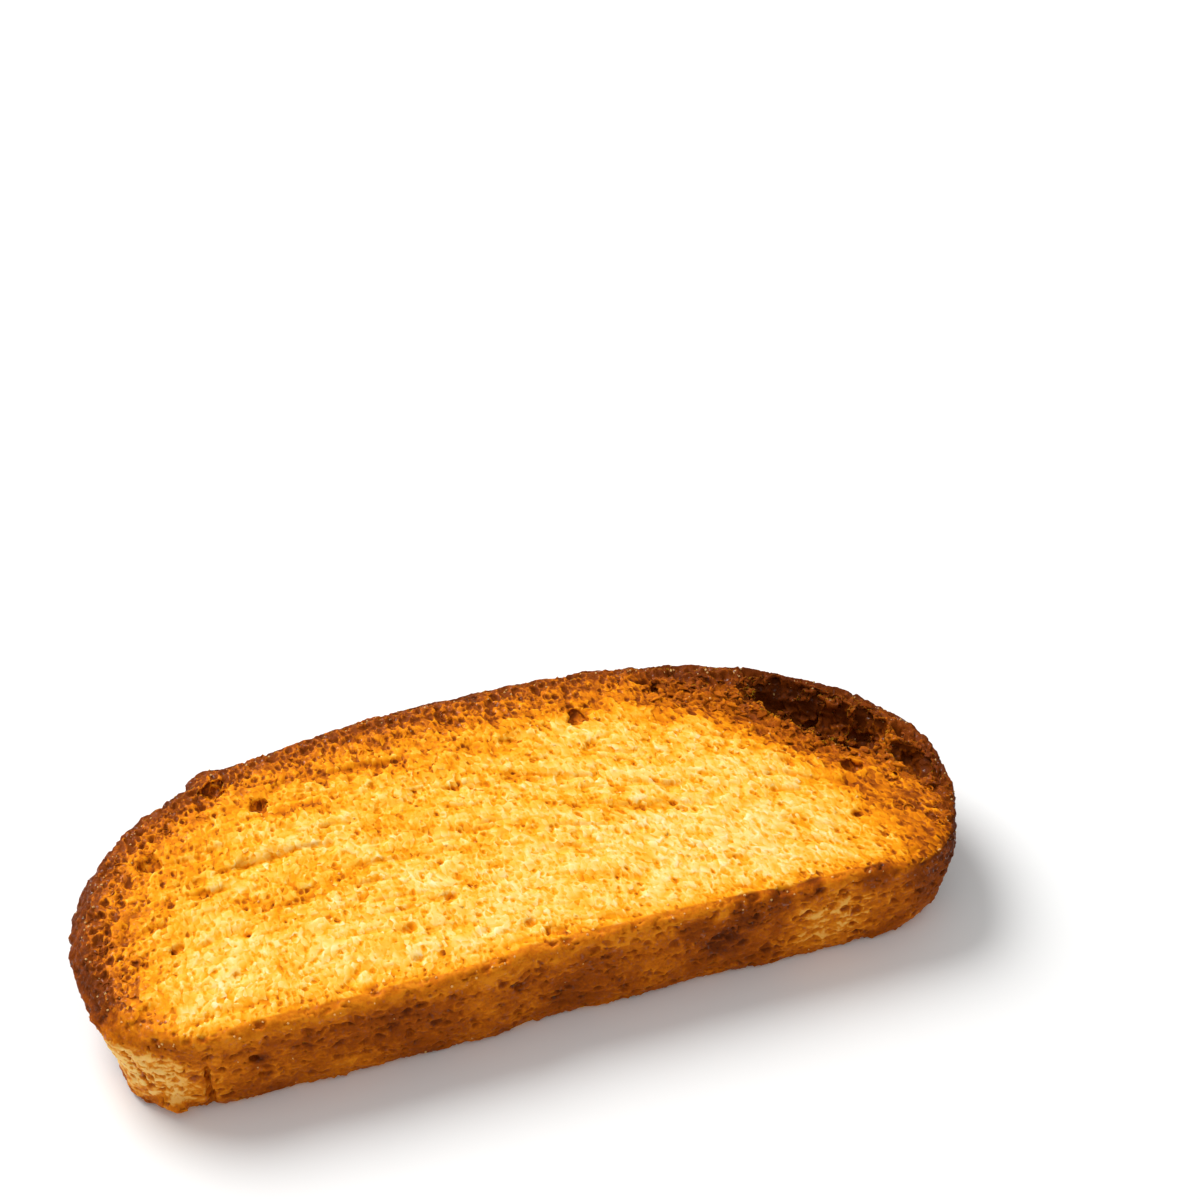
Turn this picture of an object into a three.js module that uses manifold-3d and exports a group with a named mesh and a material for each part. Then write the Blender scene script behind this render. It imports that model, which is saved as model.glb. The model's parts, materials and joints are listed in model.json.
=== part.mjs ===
// Rusk: one slice of a low loaf, baked a second time until it is dry and crisp.
// Millimetres, +Z up. The slice lies on a cut face: X runs along its length, the flat base crust faces -Y
// and the arched top crust faces +Y. The origin is on the surface it lies on, below the slice's middle.

import * as THREE from "three";
import { ImprovedNoise } from "three/addons/math/ImprovedNoise.js";
import { mergeVertices } from "three/addons/utils/BufferGeometryUtils.js";
import Module from "manifold-3d";

// The slice
const LENGTH = 105; // the outline, end to end; the crust's own relief adds to it
const DEPTH = 44.6; // base crust to crown
const THICKNESS = 12; // cut face to cut face
const WIDEST = 16.2; // height above the base crust where the loaf is widest
const BASE_LEFT = 40; // how far the flat base runs to the left of the middle
const BASE_RIGHT = 42; // and to the right
const CROWN_X = 5; // the crown is a little to the right of the middle

// How far the handles of the outline's curves reach, as shares of the quarter that each curve fills
const CORNER_PULL = 0.52; // along the base, at both lower corners
const END_PULL = 0.6; // down the ends, at both lower corners
const RIGHT_END_PULL = 0.44; // up the right end
const RIGHT_CROWN_PULL = 0.63; // along the crown, on the right
const LEFT_END_PULL = 0.72; // up the left end
const LEFT_CROWN_PULL = 0.71; // along the crown, on the left

// Skin: the steps that the slice's faces are divided into, and its worn edges
const STEPS_ALONG = 48;
const STEPS_ACROSS = 21;
const STEPS_UP = 5;
const EDGE_CROWDING = 1.3; // over 1, the steps of the cut faces crowd towards their edges
const EDGE_FOLLOW = 3; // how steeply the cut faces' inner steps stop following the crust's relief
const TOP_EDGE_WEAR = 0.35; // how much the top edge is pulled in and down
const UNDER_EDGE_WEAR = 0.3; // how much the edge underneath is pulled in

// Relief of the cut face and of the crust
const CRUMB_WAVES = [
  { wavelength: 11, height: 0.3 },
  { wavelength: 4, height: 0.22 },
];
const GRAIN_STRETCH = 2.6; // the crumb's waves are longer along the slice, as the dough was rolled
const CRUST_WAVES = [
  { wavelength: 9, height: 0.35 },
  { wavelength: 3.5, height: 0.25 },
];
const CRUST_BULGE = 0.4; // the crust swells between the two cuts

// The base crust has a low step where the dough met a fold of the baking paper
const STEP_X = -6.5;
const STEP_HEIGHT = 0.7;
const STEP_WIDTH = 1.2;

// At the left end a dark rim of crust stands out over the lower wall, which is set back
const RIM_BULGE = 1.2;
const RIM_HEIGHT = 0.78; // middle of the rim, as a share of the thickness
const RIM_SPREAD = 0.25;
const UNDERCUT = 1.2;
const UNDERCUT_TOP = 0.6; // share of the thickness where the rim starts
const UNDERCUT_FADE = 0.2; // share of the thickness over which the set-back wall meets the rim
const END_REACH = 6; // how far in from the end the rim and the undercut fade out

// Low down, the left corner of the base flares out
const FLARE = 2;
const FLARE_MIDDLE = new THREE.Vector2(-49.5, -17);
const FLARE_REACH = 5;

// At the right end the wall leans in towards the underside
const RIGHT_TUCK = 2.6;
const TUCK_REACH = 14; // how far in from the end the lean starts

// Crumb pores, drawn by a seeded rule: small in the middle, larger and closer together near the crust
const PORE_SEED = 603;
const TOP_PORES = 60;
const UNDERSIDE_PORES = 20;
const CRUST_PORES = 8;
const PORE_RADIUS = { middle: 0.42, rim: 0.85 };
const PORE_SHAPE = [1.5, 1, 1.2]; // its length, width and depth, as shares of that radius
const PORE_SPREAD = 0.45; // how much one pore's size differs from the next, as a share
const PORE_TURN = 30; // most degrees that a pore is turned from the slice's length
const PORE_GAP = 3.1; // least distance between the middles of two pores
const PORE_LIMIT = 0.95; // how near the crust a pore's middle comes, as a share of the way to it
const PIT_LEVELS = { lowest: 0.3, highest: 0.7 }; // of the crust's pits, as shares of the thickness
const EGG_SIDES = 6;
const EGG_RINGS = 4;

// Bubbles that opened in the top cut face, one by one: place, radii and turn in the face
const BUBBLES = [
  { at: [2.9, 12.2], radii: [2.1, 1.3, 1.5], turn: 15 },
  { at: [12, 13.4], radii: [2.6, 0.9, 1.6], turn: 25 },
  { at: [-17.9, 11.8], radii: [1.1, 0.8, 1.5], turn: 0 },
  { at: [-34, 14.6], radii: [1.2, 0.8, 1.8], turn: 35 },
  { at: [-29.3, 10.6], radii: [1.2, 0.8, 1.4], turn: 20 },
  { at: [-43, 6.2], radii: [1.4, 0.9, 1.5], turn: 50 },
  { at: [-31.5, 1.6], radii: [3.1, 1.4, 0.9], turn: 10 },
  { at: [-13.4, 5.8], radii: [4.2, 0.9, 0.9], turn: 8 },
  { at: [-10.9, 0.2], radii: [2.3, 0.9, 0.9], turn: 4 },
  { at: [-10.9, -10.5], radii: [0.8, 1, 1.2], turn: 30 },
  { at: [-16.9, -13.4], radii: [0.75, 0.6, 1.3], turn: 0 },
  { at: [41, -4.8], radii: [1.6, 1.1, 1.1], turn: -40 },
];

// The torn crown: a deep split between the top crust and the crumb, at the right of the crown
const CROWN_SPLIT = [
  { at: [35.6, 11.2], radii: [3.6, 2, 2.2], turn: -28 },
  { at: [39.4, 7.6], radii: [4.3, 2.6, 3.4], turn: -42 },
  { at: [43.6, 2.8], radii: [3.7, 2.1, 2.9], turn: -52 },
  { at: [48.6, -5.4], radii: [3.3, 1.5, 2.8], turn: -70 },
];

// Pits and creases in the crust: two pits and a crease by the left corner, one at the step, one at the right
const CRUST_MARKS = [
  { at: [-36.8, -22.1, 7.6], radii: [0.8, 0.9, 0.7], turn: 0 },
  { at: [-36.3, -22.1, 4.4], radii: [0.5, 0.6, 0.5], turn: 0 },
  { at: [-42, -21.8, 3], radii: [0.6, 1.1, 6], turn: -20 },
  { at: [-6.3, -22, 7.8], radii: [0.7, 0.9, 0.8], turn: 0 },
  { at: [46.6, -19.6, 7.2], radii: [1, 0.9, 0.9], turn: 35 },
];

// Lumps that stand out: folds of crust in front of the split, the blister and the drip at the left
const LUMPS = [
  { at: [29.5, 13.2, THICKNESS - 0.5], radii: [4.4, 1.5, 1.1], turn: -30 },
  { at: [34, 7.6, THICKNESS - 0.5], radii: [3.4, 1.2, 1], turn: -48 },
  { at: [-34.4, 17.9, THICKNESS - 2], radii: [3.2, 1.7, 1.8], turn: 24 },
  { at: [-47.2, -19.5, 1.5], radii: [4.2, 1.4, 1.5], turn: -53 },
  { at: [-45.6, -21.1, 1.2], radii: [1.3, 1.5, 1.2], turn: 0 },
];

const wasm = await Module();
wasm.setup();
const noise = new ImprovedNoise();
const mix = THREE.MathUtils.lerp;
const fade = THREE.MathUtils.smoothstep;

// A repeatable stream of numbers from 0 to 1.
function seededRandom(seed) {
  const [multiplier, increment, modulus] = [1664525, 1013904223, 2 ** 32];
  let state = seed;
  return () => {
    state = (multiplier * state + increment) % modulus;
    return state / modulus;
  };
}

// The D-shaped outline of the loaf's section: a straight base and four curves round to its start.
function loafOutline() {
  const half = LENGTH / 2;
  const base = -DEPTH / 2;
  const widest = base + WIDEST;
  const crown = DEPTH / 2;
  const outline = new THREE.Path();
  outline.moveTo(-BASE_LEFT, base);
  outline.lineTo(BASE_RIGHT, base);
  outline.bezierCurveTo(
    mix(BASE_RIGHT, half, CORNER_PULL), base, half, mix(widest, base, END_PULL), half, widest,
  );
  outline.bezierCurveTo(
    half, mix(widest, crown, RIGHT_END_PULL), mix(CROWN_X, half, RIGHT_CROWN_PULL), crown, CROWN_X, crown,
  );
  outline.bezierCurveTo(
    mix(CROWN_X, -half, LEFT_CROWN_PULL), crown, -half, mix(widest, crown, LEFT_END_PULL), -half, widest,
  );
  outline.bezierCurveTo(
    -half, mix(widest, base, END_PULL), -mix(BASE_LEFT, half, CORNER_PULL), base, -BASE_LEFT, base,
  );
  return outline;
}

// Lays a square from -1 to 1 over the slice: its square rings become rings of the outline, and each of its
// corners falls in the middle of one of the outline's four curves. It gives a point's ring, from 0 at the
// middle to 1 at the outline, and the point of the outline that lies outwards of it.
function squareToSlice(outline) {
  const ends = outline.getCurveLengths();
  const whole = ends.at(-1);
  const corners = [1, 2, 3, 4].map((k) => (ends[k - 1] + ends[k]) / 2 / whole);
  const [frontRight, backRight, backLeft, frontLeft] = corners;
  const along = (from, to, share) => outline.getPointAt((mix(from, to, share) + 1) % 1);
  return (s, t) => {
    const ring = Math.max(Math.abs(s), Math.abs(t));
    const [edgeS, edgeT] = ring > 0 ? [s / ring, t / ring] : [1, 0];
    let edge;
    if (edgeT <= -1) edge = along(frontLeft - 1, frontRight, (edgeS + 1) / 2);
    else if (edgeS >= 1) edge = along(frontRight, backRight, (edgeT + 1) / 2);
    else if (edgeT >= 1) edge = along(backRight, backLeft, (1 - edgeS) / 2);
    else edge = along(backLeft, frontLeft, (1 - edgeT) / 2);
    return { ring, edge };
  };
}

// Sum of noise waves at a point.
function waves(list, x, y, z) {
  return list.reduce((sum, { wavelength, height }) => {
    return sum + height * noise.noise(x / wavelength, y / wavelength, z / wavelength);
  }, 0);
}

// How far the crust stands out from the outline at a point of the slice's side.
function crustRelief(x, y, height) {
  const bulge = CRUST_BULGE * 4 * height * (1 - height);
  const frontness = fade(-y, DEPTH / 2 - 2, DEPTH / 2 - 0.5);
  const step = -STEP_HEIGHT * frontness * fade(x, STEP_X, STEP_X + STEP_WIDTH);
  const leftness = fade(-x, LENGTH / 2 - END_REACH, LENGTH / 2 - END_REACH / 4);
  const below = 1 - fade(height, UNDERCUT_TOP - UNDERCUT_FADE, UNDERCUT_TOP);
  const rim = RIM_BULGE * fade(RIM_SPREAD - Math.abs(height - RIM_HEIGHT), 0, RIM_SPREAD);
  const leftEnd = leftness * (rim - UNDERCUT * below);
  const fromCorner = FLARE_MIDDLE.distanceTo(new THREE.Vector2(x, y)) / FLARE_REACH;
  const corner = FLARE * (1 - height) * Math.exp(-(fromCorner ** 2));
  const rightEnd = -RIGHT_TUCK * (1 - height) * fade(x, LENGTH / 2 - TUCK_REACH, LENGTH / 2);
  return bulge + step + leftEnd + corner + rightEnd + waves(CRUST_WAVES, x, y, height * THICKNESS);
}

// The slice without its pores: a box whose faces are laid over the outline and given their relief.
function sliceSkin(outline) {
  const skin = new THREE.BoxGeometry(2, 2, 1, STEPS_ALONG, STEPS_ACROSS, STEPS_UP);
  const toSlice = squareToSlice(outline);
  const crowd = (u) => Math.sign(u) * (1 - (1 - Math.abs(u)) ** EDGE_CROWDING);
  const position = skin.getAttribute("position");
  for (let i = 0; i < position.count; i++) {
    const height = position.getZ(i) + 0.5;
    const { ring, edge } = toSlice(crowd(position.getX(i)), crowd(position.getY(i)));
    const onEdge = ring > 0.999;
    const topWear = onEdge && height > 0.999 ? TOP_EDGE_WEAR : 0;
    const underWear = onEdge && height < 0.001 ? UNDER_EDGE_WEAR : 0;
    const outwards = crustRelief(edge.x, edge.y, height) * ring ** EDGE_FOLLOW - topWear - underWear;
    const { x, y } = edge.multiplyScalar(ring * (1 + outwards / edge.length()));
    const crumb = height > 0.999 ? waves(CRUMB_WAVES, x / GRAIN_STRETCH, y, 0) : 0;
    position.setXYZ(i, x, y, height * THICKNESS + crumb - topWear);
  }
  return skin;
}

// A closed geometry as a solid that can be joined and cut.
function solidOf(geometry) {
  geometry.deleteAttribute("normal");
  geometry.deleteAttribute("uv");
  const merged = mergeVertices(geometry, 1e-4);
  const mesh = new wasm.Mesh({
    numProp: 3,
    vertProperties: merged.getAttribute("position").array,
    triVerts: new Uint32Array(merged.index.array),
  });
  return new wasm.Manifold(mesh);
}

// An egg-shaped solid, turned in the plane of the slice by some degrees.
function egg(x, y, z, [rx, ry, rz], turn) {
  const shape = new THREE.SphereGeometry(1, EGG_SIDES, EGG_RINGS);
  shape.rotateX(Math.PI / 2).scale(rx, ry, rz);
  shape.rotateZ(THREE.MathUtils.degToRad(turn)).translate(x, y, z);
  return solidOf(shape);
}

// Middles of pores, spread over the slice by trial, each with its closeness to the crust from 0 to 1.
function porePlaces(outline, count, random, taken) {
  const toSlice = squareToSlice(outline);
  const found = [];
  while (found.length < count) {
    const { ring, edge } = toSlice(2 * random() - 1, 2 * random() - 1);
    const place = edge.multiplyScalar(ring);
    const crowded = taken.some((other) => other.distanceTo(place) < PORE_GAP);
    if (crowded || ring > PORE_LIMIT) continue;
    taken.push(place);
    found.push({ place, closeness: ring ** 3 });
  }
  return found;
}

// Cutters for the pores of one cut face, whose level is given.
function facePores(outline, count, level, random, taken) {
  return porePlaces(outline, count, random, taken).map(({ place, closeness }) => {
    const size = mix(PORE_RADIUS.middle, PORE_RADIUS.rim, closeness);
    const radii = PORE_SHAPE.map((share) => size * share * (1 + PORE_SPREAD * (2 * random() - 1)));
    return egg(place.x, place.y, level, radii, PORE_TURN * (2 * random() - 1));
  });
}

// Cutters for the pits in the crust, round the slice's side.
function crustPits(outline, random) {
  return Array.from({ length: CRUST_PORES }, (_, k) => {
    const place = outline.getPointAt((k + random()) / CRUST_PORES);
    const z = THICKNESS * mix(PIT_LEVELS.lowest, PIT_LEVELS.highest, random());
    const size = mix(PORE_RADIUS.middle, PORE_RADIUS.rim, random());
    return egg(place.x, place.y, z, [size, size, size], 0);
  });
}

// A solid as a geometry, moved so that the origin is below its middle, at its lowest level.
function geometryOf(solid) {
  const mesh = solid.getMesh();
  const geometry = new THREE.BufferGeometry();
  geometry.setAttribute("position", new THREE.BufferAttribute(mesh.vertProperties, mesh.numProp));
  geometry.setIndex(new THREE.BufferAttribute(mesh.triVerts, 1));
  geometry.computeBoundingBox();
  const middle = geometry.boundingBox.getCenter(new THREE.Vector3());
  geometry.translate(-middle.x, -middle.y, -geometry.boundingBox.min.z);
  geometry.computeVertexNormals();
  return geometry;
}

// The whole slice: lumps are joined to the skin, then every hollow is cut, and loose scraps are dropped.
function rusk() {
  const outline = loafOutline();
  const random = seededRandom(PORE_SEED);
  const opened = [...BUBBLES, ...CROWN_SPLIT];
  const taken = opened.map(({ at }) => new THREE.Vector2(...at));
  const lumps = LUMPS.map(({ at, radii, turn }) => egg(...at, radii, turn));
  const cutters = [
    ...opened.map(({ at, radii, turn }) => egg(...at, THICKNESS, radii, turn)),
    ...CRUST_MARKS.map(({ at, radii, turn }) => egg(...at, radii, turn)),
    ...facePores(outline, TOP_PORES, THICKNESS, random, taken),
    ...facePores(outline, UNDERSIDE_PORES, 0, random, [new THREE.Vector2()]),
    ...crustPits(outline, random),
  ];
  const joined = lumps.reduce((body, lump) => body.add(lump), solidOf(sliceSkin(outline)));
  const pierced = cutters.reduce((body, cutter) => body.subtract(cutter), joined);
  const [slice] = pierced.decompose().sort((a, b) => b.volume() - a.volume());
  return geometryOf(slice);
}

const toastedCrumb = new THREE.MeshStandardMaterial({ color: 0xe8a63c, roughness: 0.7, metalness: 0 });
const slice = new THREE.Mesh(rusk(), toastedCrumb);
slice.name = "rusk";

const part = new THREE.Group();
part.add(slice);

export default part;
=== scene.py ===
# %% [markdown]
# # A rusk, from a solid to a crisp slice of toast
#
# A rusk is a slice of sweet bread that has been baked a second time. Its two cut faces show the crumb: a dry
# sponge of burst bubbles, golden where the oven was gentle and brown towards the crust. This lesson starts
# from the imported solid, which already has the true outline, the split in the crown and the larger pores, and
# adds what makes it look like bread: fine relief, browning and a few loose crumbs.

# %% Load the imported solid
import json
import math
import random

import bmesh
import bpy
import numpy as np
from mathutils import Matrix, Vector
from mathutils.geometry import convex_hull_2d
from mathutils.noise import fractal, noise_vector, seed_set

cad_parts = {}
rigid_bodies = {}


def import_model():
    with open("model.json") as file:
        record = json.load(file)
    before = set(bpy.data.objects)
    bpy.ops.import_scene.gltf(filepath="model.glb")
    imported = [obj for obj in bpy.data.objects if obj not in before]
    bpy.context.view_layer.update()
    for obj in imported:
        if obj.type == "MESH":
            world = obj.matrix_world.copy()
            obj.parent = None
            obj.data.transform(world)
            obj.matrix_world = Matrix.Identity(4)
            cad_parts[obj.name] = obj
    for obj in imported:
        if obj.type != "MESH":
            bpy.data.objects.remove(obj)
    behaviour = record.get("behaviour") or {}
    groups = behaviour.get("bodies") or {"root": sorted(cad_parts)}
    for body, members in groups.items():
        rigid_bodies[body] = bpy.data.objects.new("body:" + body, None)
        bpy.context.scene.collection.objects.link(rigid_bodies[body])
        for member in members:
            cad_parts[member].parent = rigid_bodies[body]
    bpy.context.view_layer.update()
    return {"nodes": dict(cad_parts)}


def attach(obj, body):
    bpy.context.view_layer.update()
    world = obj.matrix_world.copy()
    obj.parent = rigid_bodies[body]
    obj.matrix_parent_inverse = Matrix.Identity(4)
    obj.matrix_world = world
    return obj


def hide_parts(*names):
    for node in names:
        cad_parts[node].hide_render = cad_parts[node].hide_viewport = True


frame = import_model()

MM = 0.001
THICKNESS = 12.0  # mm from one cut face to the other
scene = bpy.context.scene

# %% [markdown]
# ## Camera
#
# The picture looks down on the slice with a short telephoto lens. The slice is turned a little, so that its
# right end is further away. The camera's place was found by fitting the slice's outline.

# %% Camera
CAMERA_PLACE = Vector((-47.7, -183.5, 216.9)) * MM
CAMERA_PITCH = 42  # degrees below the horizon
CAMERA_TURN = 17.8  # degrees that the view is turned to the right
CAMERA_LENS = 70  # mm
CAMERA_SENSOR = 36  # mm
CAMERA_NEAR = 0.01  # m, nearer than anything in the scene

lens = bpy.data.cameras.new("camera")
lens.lens = CAMERA_LENS
lens.sensor_width = CAMERA_SENSOR
lens.clip_start = CAMERA_NEAR
camera = bpy.data.objects.new("camera", lens)
camera.location = CAMERA_PLACE
camera.rotation_euler = (math.radians(90 - CAMERA_PITCH), 0, -math.radians(CAMERA_TURN))
scene.collection.objects.link(camera)
scene.camera = camera
print("camera at", tuple(round(c / MM) for c in camera.location), "mm")

# %% [markdown]
# ## Light and floor
#
# The light is a large soft lamp behind and above the slice. It grazes the crumb, so that every hollow shows,
# and leaves the front crust in shade. A pale sky and a white floor fill that shade.

# %% Light and floor
KEY_PLACE = Vector((-0.22, 0.42, 0.5))  # m
KEY_SIZE = 0.45  # m
KEY_WATTS = 5.2
SKY_STRENGTH = 0.58
FLOOR_SIZE = 4  # m
FLOOR_COLOUR = (0.9, 0.9, 0.89, 1)


def soft_lamp(name, place, size, watts):
    """A round area lamp that looks at the middle of the table."""
    lamp = bpy.data.lights.new(name, "AREA")
    lamp.shape = "DISK"
    lamp.size = size
    lamp.energy = watts
    holder = bpy.data.objects.new(name, lamp)
    holder.location = place
    holder.rotation_euler = (-place).to_track_quat("-Z", "Y").to_euler()
    scene.collection.objects.link(holder)


soft_lamp("key_lamp", KEY_PLACE, KEY_SIZE, KEY_WATTS)
sky = bpy.data.worlds.new("sky")
sky.use_nodes = True
sky.node_tree.nodes["Background"].inputs["Color"].default_value = (1, 1, 1, 1)
sky.node_tree.nodes["Background"].inputs["Strength"].default_value = SKY_STRENGTH
scene.world = sky
scene.view_settings.view_transform = "Standard"

floor_shape = bmesh.new()
bmesh.ops.create_grid(floor_shape, x_segments=1, y_segments=1, size=FLOOR_SIZE / 2)
floor_mesh = bpy.data.meshes.new("floor")
floor_shape.to_mesh(floor_mesh)
floor_shape.free()
floor = bpy.data.objects.new("floor", floor_mesh)
scene.collection.objects.link(floor)
floor_paint = bpy.data.materials.new("floor_paint")
floor_paint.use_nodes = True
floor_shader = floor_paint.node_tree.nodes["Principled BSDF"]
floor_shader.inputs["Base Color"].default_value = FLOOR_COLOUR
floor_shader.inputs["Roughness"].default_value = 0.9
floor_mesh.materials.append(floor_paint)
print("floor", FLOOR_SIZE, "m across")

# %% [markdown]
# ## Node trees as sums
#
# The relief is a Geometry Nodes tree and the finish is a shader tree. Both need the same fields, such as how
# deep a point lies in a pore, so both are written as Python sums. A Wire holds one output of a node.
# Adding or multiplying wires adds the Math node that does it.


# %% A wire that can be used in sums
class Wire:
    """One output in a node tree. A wire with no socket stands for the empty tree."""

    def __init__(self, tree, socket=None):
        self.tree = tree
        self.socket = socket

    def node(self, kind, settings, inputs, output=0):
        """Adds a node: its settings come first, then its sockets get their values or links."""
        made = self.tree.nodes.new(kind)
        for name, value in settings.items():
            if name == "stops":
                set_stops(made.color_ramp, value)
            else:
                setattr(made, name, value)
        for key, value in inputs.items():
            if isinstance(value, Wire):
                self.tree.links.new(value.socket, made.inputs[key])
            else:
                made.inputs[key].default_value = value
        return Wire(self.tree, made.outputs[output]) if output is not None else None

    def other(self, output):
        """Another output of the same node."""
        return Wire(self.tree, self.socket.node.outputs[output])

    def math(self, operation, *values):
        return self.node("ShaderNodeMath", {"operation": operation}, dict(enumerate(values)))

    def vector(self, operation, *values):
        return self.node("ShaderNodeVectorMath", {"operation": operation}, dict(enumerate(values)))

    def fade(self, start, end):
        """0 up to start and 1 from end on, smooth between them. Start may be the larger one."""
        return self.node(
            "ShaderNodeMapRange",
            {"interpolation_type": "SMOOTHSTEP"},
            {"Value": self, "From Min": start, "From Max": end},
        )

    def above_zero(self):
        return self.math("MAXIMUM", self, 0)

    def __add__(self, other):
        return self.math("ADD", self, other)

    def __sub__(self, other):
        return self.math("SUBTRACT", self, other)

    def __rsub__(self, other):
        return self.math("SUBTRACT", other, self)

    def __mul__(self, other):
        return self.math("MULTIPLY", self, other)

    def __truediv__(self, other):
        return self.math("DIVIDE", self, other)

    __radd__ = __add__
    __rmul__ = __mul__


def set_stops(ramp, stops):
    """Gives a colour ramp these (place, colour) stops."""
    while len(ramp.elements) < len(stops):
        ramp.elements.new(1)
    for element, (place, colour) in zip(ramp.elements, stops):
        element.position = place
        element.color = colour


# %% [markdown]
# ## A dense copy of the solid
#
# The solid has few faces. A copy is remeshed in small even cells, about the width of a bubble wall, and
# smoothed, so that the solid's facets go and its pores and split stay.

# %% Dense copy
CELL = 0.17 * MM
SMOOTH_STEPS = 8


def add_piece(name, mesh):
    """A mesh as an object in the scene."""
    piece = bpy.data.objects.new(name, mesh)
    scene.collection.objects.link(piece)
    return piece


def apply_modifier(piece, kind, settings):
    """Adds a modifier, makes its result the piece's mesh and removes it."""
    modifier = piece.modifiers.new(kind, kind)
    for name, value in settings.items():
        setattr(modifier, name, value)
    evaluated = piece.evaluated_get(bpy.context.evaluated_depsgraph_get())
    result = bpy.data.meshes.new_from_object(evaluated)
    piece.modifiers.clear()
    before = piece.data
    piece.data = result
    bpy.data.meshes.remove(before)


shape = bmesh.new()
shape.from_mesh(frame["nodes"]["rusk"].data)
bmesh.ops.remove_doubles(shape, verts=shape.verts, dist=1e-6)
bread_mesh = bpy.data.meshes.new("bread")
shape.to_mesh(bread_mesh)
shape.free()
bread = add_piece("bread", bread_mesh)
apply_modifier(bread, "REMESH", {"mode": "VOXEL", "voxel_size": CELL})
apply_modifier(bread, "SMOOTH", {"factor": 0.5, "iterations": SMOOTH_STEPS})
print("dense copy:", len(bread.data.vertices), "points")

# %% [markdown]
# ## The outline
#
# Much of what follows goes by the distance from the crust. The slice is nearly convex, so that distance is
# measured to the sides of the convex outline round it, and the nearest side says which way the crust faces.


# %% Outline
def numbers_of(items, name, width):
    """One property of many items, as rows of numbers."""
    found = np.empty(len(items) * width, np.float32)
    items.foreach_get(name, found)
    return found.reshape(-1, width)


solid_points = numbers_of(frame["nodes"]["rusk"].data.vertices, "co", 3)[:, :2] / MM
solid_points = np.unique(solid_points.round(2), axis=0)
hull = solid_points[convex_hull_2d(solid_points.tolist())]
turned = np.roll(hull, -1, 0)
if (hull[:, 0] * turned[:, 1] - hull[:, 1] * turned[:, 0]).sum() < 0:
    hull = hull[::-1]
sides = np.roll(hull, -1, 0) - hull
side_lengths = np.linalg.norm(sides, axis=1)
along = sides / side_lengths[:, None]
inwards = np.stack([-along[:, 1], along[:, 0]], 1)
starts = np.concatenate([[0], np.cumsum(side_lengths)[:-1]])
girth = side_lengths.sum()


def against_outline(spots):
    """How far inside the outline each spot is, how far along it, and which way out is."""
    away = spots[:, :2] @ inwards.T - (hull * inwards).sum(1)
    nearest = away.argmin(1)
    arc = starts[nearest] + ((spots[:, :2] - hull[nearest]) * along[nearest]).sum(1)
    return away[np.arange(len(spots)), nearest], arc, -inwards[nearest]


print("outline:", len(hull), "sides,", round(float(girth)), "mm round")

# %% [markdown]
# ## The torn trough and the pores
#
# When the loaf rose in the oven its crown tore open, and the slice shows the tear as a trough. In the solid
# it is a row of hollows. Here the points between the hollows are pressed down onto one ragged trough. The
# solid's pores are smooth eggs, so they are made shallower and ragged, and the clearest pores of this slice
# are pressed in at their places. Then the mesh is made even again, because pressing stretches it.

# %% Press the trough and the pores
TROUGH_LINE = [(37.6, 10.4), (40.6, 6.6), (43.8, 2.8), (45.6, 1.2)]  # mm
TROUGH_HALF_WIDTH = 2.8  # mm
TROUGH_DEPTH = 4.2  # mm
TROUGH_WANDER = 1.2  # mm by which the trough's edge is ragged
UPPER_HALF = 6  # mm, the height above which points can belong to the upper face
PORE_FILL = 0.72  # share of the solid's pores' depth that is taken up
PORE_INSET = 3.0  # mm from the outline, where the wall of crust ends
PORE_LOWEST = 8.5  # mm, the height above which a hollow counts as a pore of the upper face
PRESS_LOWEST = 8  # mm, the height above which points are pressed into a placed pore
PORE_SKIN = 0.06  # mm under the cut face, where the pores begin
PORE_SHAKE = 0.9  # mm by which the pores' walls are moved about
PORE_DEPTH = 0.95  # of a placed pore's radius
TORN_END = 36  # mm along the slice, where the torn end begins and no pore is filled
PORES = [
    ((-9.8, -10.0), 0.8),
    ((-15.7, -13.3), 0.8),
    ((-2.3, -16.5), 0.7),
    ((-15.8, -17.9), 0.6),
    ((-33.0, 15.0), 1.5),
    ((-28.1, 11.0), 1.2),
    ((-42.2, 5.4), 1.1),
    ((-41.4, -8.1), 0.7),
    ((-35.7, -14.1), 0.6),
    ((12.8, 13.6), 1.2),
]  # place and radius in mm
PORE_SEED = 7  # without it the noise below would go by the clock


def from_line(spots, line):
    """How far each spot is, seen from above, from a line through a few places."""
    best = np.full(len(spots), np.inf)
    for first, second in zip(line, line[1:]):
        first, step = np.array(first), np.array(second) - np.array(first)
        share = np.clip((spots[:, :2] - first) @ step / (step @ step), 0, 1)
        best = np.minimum(best, np.linalg.norm(spots[:, :2] - first - share[:, None] * step, axis=1))
    return best


seed_set(PORE_SEED)
points = numbers_of(bread.data.vertices, "co", 3) / MM
beside_trough = from_line(points, TROUGH_LINE) < TROUGH_HALF_WIDTH + 1
near = np.flatnonzero(beside_trough & (points[:, 2] > UPPER_HALF))
ragged = np.array([fractal(Vector(point) * 0.6, 0.7, 2.0, 4) for point in points[near].tolist()])
off_line = (from_line(points[near], TROUGH_LINE) + ragged * TROUGH_WANDER) / TROUGH_HALF_WIDTH
trough = TROUGH_DEPTH * np.sqrt(np.clip(1 - off_line**2, 0, 1)) * (1 + ragged * 0.4)
inner = (against_outline(points)[0] > PORE_INSET) & (points[:, 0] < TORN_END)
in_pore = (points[:, 2] > PORE_LOWEST) & (points[:, 2] < THICKNESS - PORE_SKIN)
pores = np.flatnonzero(inner & in_pore)
below = THICKNESS - points[pores, 2]
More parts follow.
